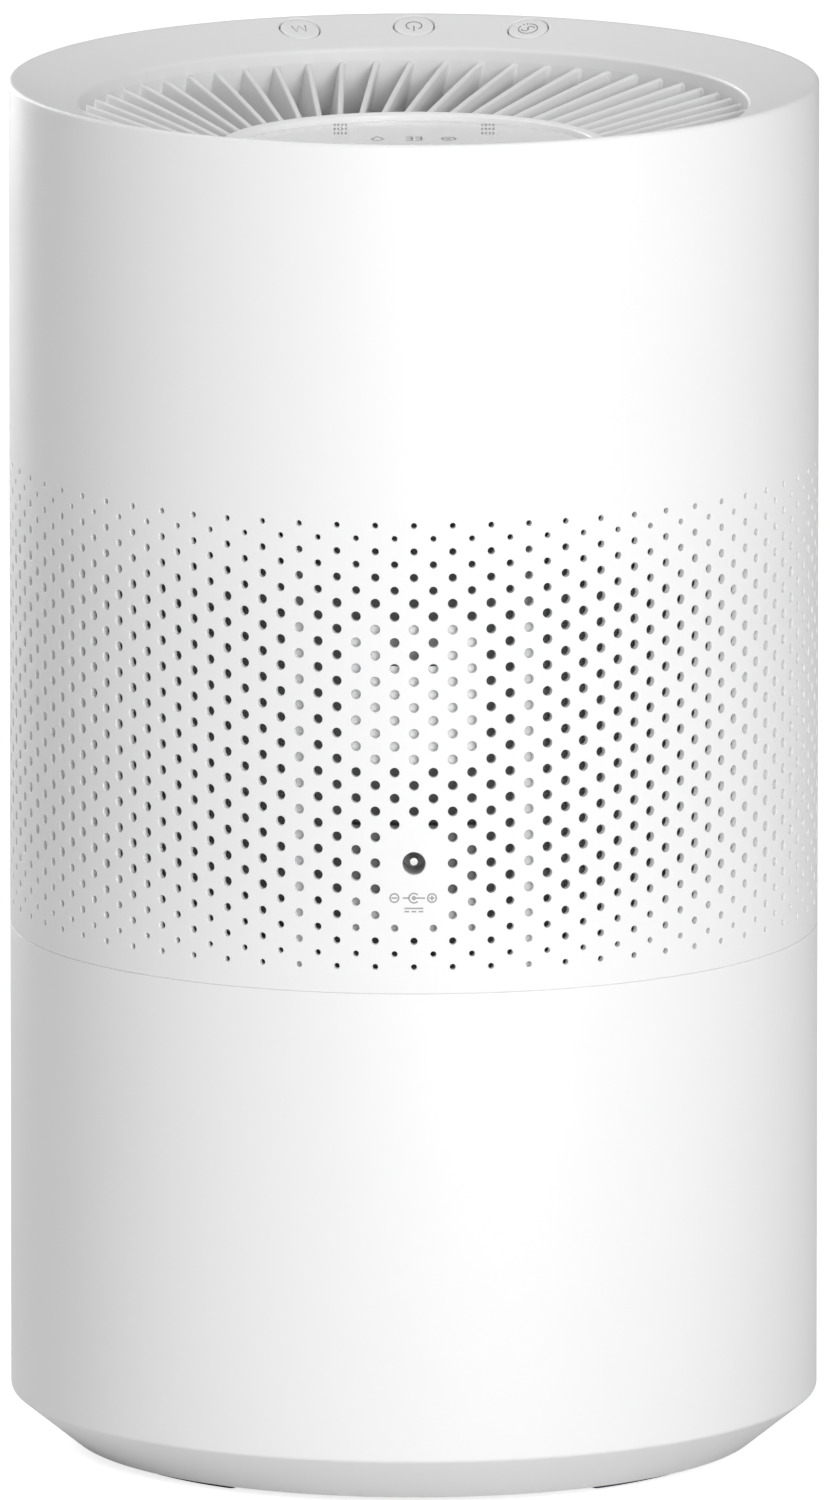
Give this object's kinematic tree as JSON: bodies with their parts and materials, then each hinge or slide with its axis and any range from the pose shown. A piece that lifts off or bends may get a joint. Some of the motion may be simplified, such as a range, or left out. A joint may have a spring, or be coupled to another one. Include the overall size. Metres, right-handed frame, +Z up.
{
  "type": "air purifier",
  "caption": "Round evaporative air purifier: water tank, wick filter, lift-off head with perforated band, fan, radial grille, round display and sprung keys.",
  "frame": {"origin": "floor level under the middle of the drum", "axes": "+Z up along the drum's axis; the power inlet faces -Y and the keys are on the +Y side"},
  "size_m": [0.226, 0.226, 0.3859],
  "materials": {
    "shell_white": "fine spark-eroded satin, perforated band and rim",
    "tank_white": "fine satin, moulded tank",
    "grille_white": "satin, blades and display ring",
    "key_white": "satin with pale grey pad-printed symbol",
    "frame_grey": "light grey structural moulding",
    "bracket_grey": "mid grey moulding",
    "dark_plastic": "black moulded plastic",
    "dark_mesh": "woven dust mesh",
    "seal_foam": "closed-cell foam",
    "foot_rubber": "soft rubber",
    "float_foam": "closed-cell foam",
    "magnet_black": "ferrite",
    "filter_plastic": "moulded end rings and cage",
    "wick_paper": "pleated wick fibre",
    "circuit_board": "solder-masked board",
    "contact_brass": "plated contact",
    "screw_steel": "zinc plated",
    "motor_steel": "drawn and turned steel",
    "stator_steel": "laminated core",
    "winding_copper": "enamelled wire",
    "display_lens": "pale grey diffusing lens",
    "lamp_white": "light boxes",
    "impeller_grey": "moulded mixed-flow impeller",
    "lead_black": "insulated wire"
  },
  "bodies": {
    "tank": {"tank_shell": "tank_white", "rubber_feet": "foot_rubber", "filter_seat": "tank_white", "float_guide": "tank_white"},
    "float": {"float_body": "float_foam", "float_magnet": "magnet_black"},
    "filter": {"filter_bottom_ring": "filter_plastic", "filter_top_ring": "filter_plastic", "wick_filter": "wick_paper", "filter_core": "filter_plastic"},
    "head": {"upper_shell": "shell_white", "inlet_band_rear": "shell_white", "inlet_band_right": "shell_white", "inlet_band_front": "shell_white", "inlet_band_left": "shell_white", "inner_frame": "frame_grey", "prefilter_mesh": "dark_mesh", "rear_panel": "dark_plastic", "sensor_box": "frame_grey", "humidity_sensor": "circuit_board", "jack_bracket": "bracket_grey", "dc_jack_body": "dark_plastic", "dc_jack_pin": "contact_brass", "jack_board": "circuit_board", "fan_deck": "frame_grey", "deck_seal": "seal_foam", "deck_screws": "screw_steel", "fan_housing": "frame_grey", "housing_screws": "screw_steel", "diffuser": "frame_grey", "outlet_grille": "grille_white", "display_bezel": "grille_white", "display_lens": "display_lens", "display_board": "circuit_board", "display_lamps": "lamp_white", "display_screws": "screw_steel", "key_board": "circuit_board", "key_switches": "dark_plastic", "key_screws": "screw_steel", "motor_base": "motor_steel", "motor_board": "circuit_board", "motor_bearings": "motor_steel", "motor_stator": "stator_steel", "motor_windings": "winding_copper", "motor_screws": "screw_steel", "main_board": "circuit_board", "power_leads": "lead_black", "level_sensor": "dark_plastic"},
    "fan": {"rotor_can": "motor_steel", "rotor_magnet": "magnet_black", "motor_shaft": "motor_steel", "shaft_clip": "motor_steel", "impeller": "impeller_grey"},
    "key_mode": {"key_mode": "key_white"},
    "key_power": {"key_power": "key_white"},
    "key_dry": {"key_dry": "key_white"}
  },
  "joints": [
    {"name": "head_lift", "type": "slide", "parent": "tank", "child": "head", "axis": [0, 0, 1], "range_m": [0, 0.3]},
    {"name": "filter_lift", "type": "slide", "parent": "tank", "child": "filter", "axis": [0, 0, 1], "range_m": [0, 0.12]},
    {"name": "float_rise", "type": "slide", "parent": "tank", "child": "float", "axis": [0, 0, 1], "range_m": [0, 0.1]},
    {"name": "fan_spin", "type": "hinge", "parent": "head", "child": "fan", "pos_m": [0, 0, 0.31], "axis": [0, 0, 1], "continuous": true},
    {"name": "press_mode", "type": "slide", "parent": "head", "child": "key_mode", "axis": [-0.1055, 0.3287, -0.9385], "range_m": [0, 0.0008], "stiffness_N_per_m": 2500},
    {"name": "press_power", "type": "slide", "parent": "head", "child": "key_power", "axis": [0, 0.3452, -0.9385], "range_m": [0, 0.0008], "stiffness_N_per_m": 2500},
    {"name": "press_dry", "type": "slide", "parent": "head", "child": "key_dry", "axis": [0.1055, 0.3287, -0.9385], "range_m": [0, 0.0008], "stiffness_N_per_m": 2500}
  ],
  "couplings": [
    {"joint": "filter_lift", "follows": "head_lift", "ratio": 0.4}
  ]
}
